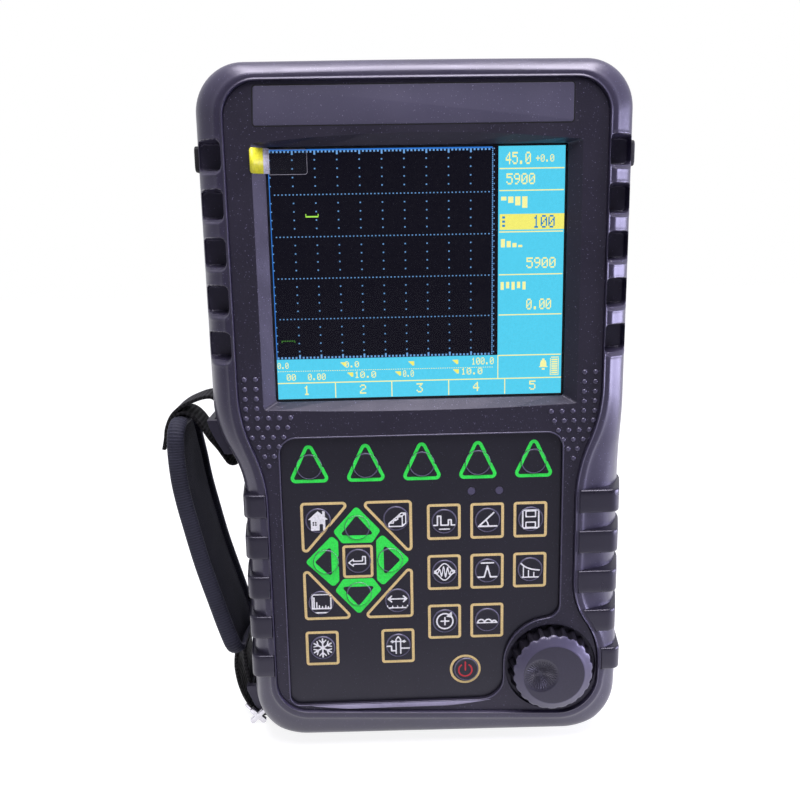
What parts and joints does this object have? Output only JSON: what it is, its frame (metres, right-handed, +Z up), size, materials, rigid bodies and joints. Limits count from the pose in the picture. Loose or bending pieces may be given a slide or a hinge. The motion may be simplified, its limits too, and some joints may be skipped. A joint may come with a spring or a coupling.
{
  "type": "ultrasonic flaw detector",
  "caption": "Hand-held test set: waisted case with a moulded bumper, sloped display bezel, domed keypad, dial knob, side hand strap and rear tilt stand.",
  "frame": {"origin": "middle of the flat resting face under the case, at the centre of the display's width", "axes": "+X to the right seen from the front, -Y out of the display, +Z up along the case's height"},
  "size_m": [0.181, 0.0635, 0.267],
  "materials": {
    "bumper": "satin gloss, fine sparkle",
    "face_panel": "fine grain",
    "shell": "fine grain",
    "seal": "matte",
    "name_plate": "satin",
    "window": "polished",
    "film": "clear peel tab",
    "display": "lit picture",
    "bracket": "plain",
    "keypad": "fine texture with printed outlines",
    "lens": "diffusing",
    "board": "solder mask",
    "key": "domed film",
    "knob": "satin, fine sparkle",
    "encoder": "plain",
    "shaft": "turned",
    "battery": "sleeved",
    "screw": "plain",
    "stand": "fine grain",
    "pin": "turned",
    "foot": "matte",
    "socket": "plated",
    "port": "moulded",
    "cover": "matte",
    "sounder": "moulded",
    "lug": "moulded",
    "webbing": "woven",
    "strap": "padded, bound edge",
    "clasp": "polished",
    "plug": "matte"
  },
  "bodies": {
    "case": {"front_bumper": "bumper", "front_panel": "face_panel", "rear_shell": "shell", "case_seal": "seal", "name_plate": "name_plate", "display_window": "window", "window_film": "film", "display_panel": "display", "display_bracket": "bracket", "keypad_sheet": "keypad", "indicator_lenses": "lens", "keypad_board": "board", "main_board": "board", "encoder": "encoder", "battery_pack": "battery", "battery_door": "shell", "door_screws": "screw", "stand_pins": "pin", "rear_feet": "foot", "case_screws": "screw", "probe_sockets": "socket", "port_block": "port", "sounder": "sounder", "upper_strap_lug": "lug", "lower_strap_lug": "lug", "upper_webbing": "webbing", "strap_pad": "strap", "lower_webbing": "webbing", "strap_clasp": "clasp", "side_plugs": "plug"},
    "soft_key_1_body": {"soft_key_1": "key"},
    "soft_key_2_body": {"soft_key_2": "key"},
    "soft_key_3_body": {"soft_key_3": "key"},
    "soft_key_4_body": {"soft_key_4": "key"},
    "soft_key_5_body": {"soft_key_5": "key"},
    "home_key_body": {"home_key": "key"},
    "scale_key_body": {"scale_key": "key"},
    "graph_key_body": {"graph_key": "key"},
    "range_key_body": {"range_key": "key"},
    "up_key_body": {"up_key": "key"},
    "down_key_body": {"down_key": "key"},
    "left_key_body": {"left_key": "key"},
    "right_key_body": {"right_key": "key"},
    "enter_key_body": {"enter_key": "key"},
    "delay_key_body": {"delay_key": "key"},
    "angle_key_body": {"angle_key": "key"},
    "save_key_body": {"save_key": "key"},
    "envelope_key_body": {"envelope_key": "key"},
    "peak_key_body": {"peak_key": "key"},
    "curve_key_body": {"curve_key": "key"},
    "gain_key_body": {"gain_key": "key"},
    "video_key_body": {"video_key": "key"},
    "freeze_key_body": {"freeze_key": "key"},
    "gate_key_body": {"gate_key": "key"},
    "power_key_body": {"power_key": "key"},
    "dial": {"knob": "knob", "encoder_shaft": "shaft"},
    "stand": {"tilt_stand": "stand"},
    "lid": {"port_cover": "cover"}
  },
  "joints": [
    {"name": "soft_key_1_press", "type": "slide", "parent": "case", "child": "soft_key_1_body", "axis": [0, 1, 0], "range_m": [0, 0.0005], "stiffness_N_per_m": 2500, "springref_m": -0.0002},
    {"name": "soft_key_2_press", "type": "slide", "parent": "case", "child": "soft_key_2_body", "axis": [0, 1, 0], "range_m": [0, 0.0005], "stiffness_N_per_m": 2500, "springref_m": -0.0002},
    {"name": "soft_key_3_press", "type": "slide", "parent": "case", "child": "soft_key_3_body", "axis": [0, 1, 0], "range_m": [0, 0.0005], "stiffness_N_per_m": 2500, "springref_m": -0.0002},
    {"name": "soft_key_4_press", "type": "slide", "parent": "case", "child": "soft_key_4_body", "axis": [0, 1, 0], "range_m": [0, 0.0005], "stiffness_N_per_m": 2500, "springref_m": -0.0002},
    {"name": "soft_key_5_press", "type": "slide", "parent": "case", "child": "soft_key_5_body", "axis": [0, 1, 0], "range_m": [0, 0.0005], "stiffness_N_per_m": 2500, "springref_m": -0.0002},
    {"name": "home_key_press", "type": "slide", "parent": "case", "child": "home_key_body", "axis": [0, 1, 0], "range_m": [0, 0.0005], "stiffness_N_per_m": 2500, "springref_m": -0.0002},
    {"name": "scale_key_press", "type": "slide", "parent": "case", "child": "scale_key_body", "axis": [0, 1, 0], "range_m": [0, 0.0005], "stiffness_N_per_m": 2500, "springref_m": -0.0002},
    {"name": "graph_key_press", "type": "slide", "parent": "case", "child": "graph_key_body", "axis": [0, 1, 0], "range_m": [0, 0.0005], "stiffness_N_per_m": 2500, "springref_m": -0.0002},
    {"name": "range_key_press", "type": "slide", "parent": "case", "child": "range_key_body", "axis": [0, 1, 0], "range_m": [0, 0.0005], "stiffness_N_per_m": 2500, "springref_m": -0.0002},
    {"name": "up_key_press", "type": "slide", "parent": "case", "child": "up_key_body", "axis": [0, 1, 0], "range_m": [0, 0.0005], "stiffness_N_per_m": 2500, "springref_m": -0.0002},
    {"name": "down_key_press", "type": "slide", "parent": "case", "child": "down_key_body", "axis": [0, 1, 0], "range_m": [0, 0.0005], "stiffness_N_per_m": 2500, "springref_m": -0.0002},
    {"name": "left_key_press", "type": "slide", "parent": "case", "child": "left_key_body", "axis": [0, 1, 0], "range_m": [0, 0.0005], "stiffness_N_per_m": 2500, "springref_m": -0.0002},
    {"name": "right_key_press", "type": "slide", "parent": "case", "child": "right_key_body", "axis": [0, 1, 0], "range_m": [0, 0.0005], "stiffness_N_per_m": 2500, "springref_m": -0.0002},
    {"name": "enter_key_press", "type": "slide", "parent": "case", "child": "enter_key_body", "axis": [0, 1, 0], "range_m": [0, 0.0005], "stiffness_N_per_m": 2500, "springref_m": -0.0002},
    {"name": "delay_key_press", "type": "slide", "parent": "case", "child": "delay_key_body", "axis": [0, 1, 0], "range_m": [0, 0.0005], "stiffness_N_per_m": 2500, "springref_m": -0.0002},
    {"name": "angle_key_press", "type": "slide", "parent": "case", "child": "angle_key_body", "axis": [0, 1, 0], "range_m": [0, 0.0005], "stiffness_N_per_m": 2500, "springref_m": -0.0002},
    {"name": "save_key_press", "type": "slide", "parent": "case", "child": "save_key_body", "axis": [0, 1, 0], "range_m": [0, 0.0005], "stiffness_N_per_m": 2500, "springref_m": -0.0002},
    {"name": "envelope_key_press", "type": "slide", "parent": "case", "child": "envelope_key_body", "axis": [0, 1, 0], "range_m": [0, 0.0005], "stiffness_N_per_m": 2500, "springref_m": -0.0002},
    {"name": "peak_key_press", "type": "slide", "parent": "case", "child": "peak_key_body", "axis": [0, 1, 0], "range_m": [0, 0.0005], "stiffness_N_per_m": 2500, "springref_m": -0.0002},
    {"name": "curve_key_press", "type": "slide", "parent": "case", "child": "curve_key_body", "axis": [0, 1, 0], "range_m": [0, 0.0005], "stiffness_N_per_m": 2500, "springref_m": -0.0002},
    {"name": "gain_key_press", "type": "slide", "parent": "case", "child": "gain_key_body", "axis": [0, 1, 0], "range_m": [0, 0.0005], "stiffness_N_per_m": 2500, "springref_m": -0.0002},
    {"name": "video_key_press", "type": "slide", "parent": "case", "child": "video_key_body", "axis": [0, 1, 0], "range_m": [0, 0.0005], "stiffness_N_per_m": 2500, "springref_m": -0.0002},
    {"name": "freeze_key_press", "type": "slide", "parent": "case", "child": "freeze_key_body", "axis": [0, 1, 0], "range_m": [0, 0.0005], "stiffness_N_per_m": 2500, "springref_m": -0.0002},
    {"name": "gate_key_press", "type": "slide", "parent": "case", "child": "gate_key_body", "axis": [0, 1, 0], "range_m": [0, 0.0005], "stiffness_N_per_m": 2500, "springref_m": -0.0002},
    {"name": "power_key_press", "type": "slide", "parent": "case", "child": "power_key_body", "axis": [0, 1, 0], "range_m": [0, 0.0005], "stiffness_N_per_m": 2500, "springref_m": -0.0002},
    {"name": "dial_turn", "type": "hinge", "parent": "case", "child": "dial", "pos_m": [0.0502, -0.0375, 0.0355], "axis": [0, -1, 0], "continuous": true},
    {"name": "stand_fold", "type": "hinge", "parent": "case", "child": "stand", "pos_m": [0, 0.018, 0.152], "axis": [1, 0, 0], "range_deg": [0, 55]},
    {"name": "lid_open", "type": "hinge", "parent": "case", "child": "lid", "pos_m": [0.034, 0.0111, 0.2652], "axis": [-1, 0, 0], "range_deg": [0, 90]}
  ]
}
